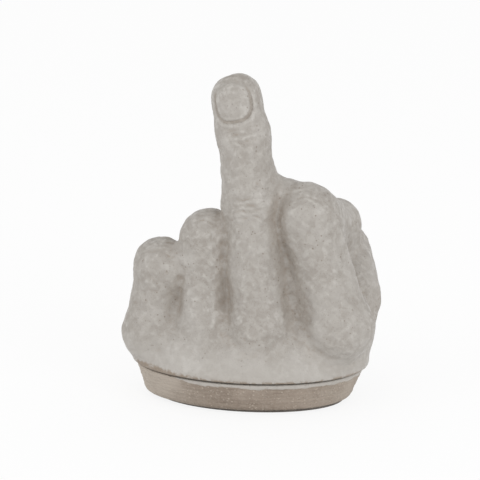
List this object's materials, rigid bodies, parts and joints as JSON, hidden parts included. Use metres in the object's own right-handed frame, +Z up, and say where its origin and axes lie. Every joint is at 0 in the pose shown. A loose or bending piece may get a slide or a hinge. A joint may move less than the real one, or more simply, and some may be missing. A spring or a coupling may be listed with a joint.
{
  "type": "ceramic hand sculpture",
  "caption": "Hollow ceramic left hand with one raised finger, folded fingers and a crossed thumb, cut off below the knuckles and standing on an oval unglazed stoneware foot with a felt base.",
  "frame": {"origin": "centre of the oval underside of the felt base", "axes": "+Z up along the raised finger, -Y towards the back of the hand, +X towards the thumb's side"},
  "size_m": [0.0911, 0.0617, 0.12],
  "materials": {
    "glaze": "matte warm grey glaze",
    "stoneware": "bare toasted brown stoneware, paler at its two ends",
    "felt": "dense warm grey felt"
  },
  "bodies": {
    "root": {"hand_body": "glaze", "raised_middle_finger": "glaze", "folded_index_finger": "glaze", "folded_ring_finger": "glaze", "folded_little_finger": "glaze", "thumb": "glaze", "stoneware_foot": "stoneware", "floor_slab": "stoneware", "felt_base": "felt"}
  },
  "joints": []
}
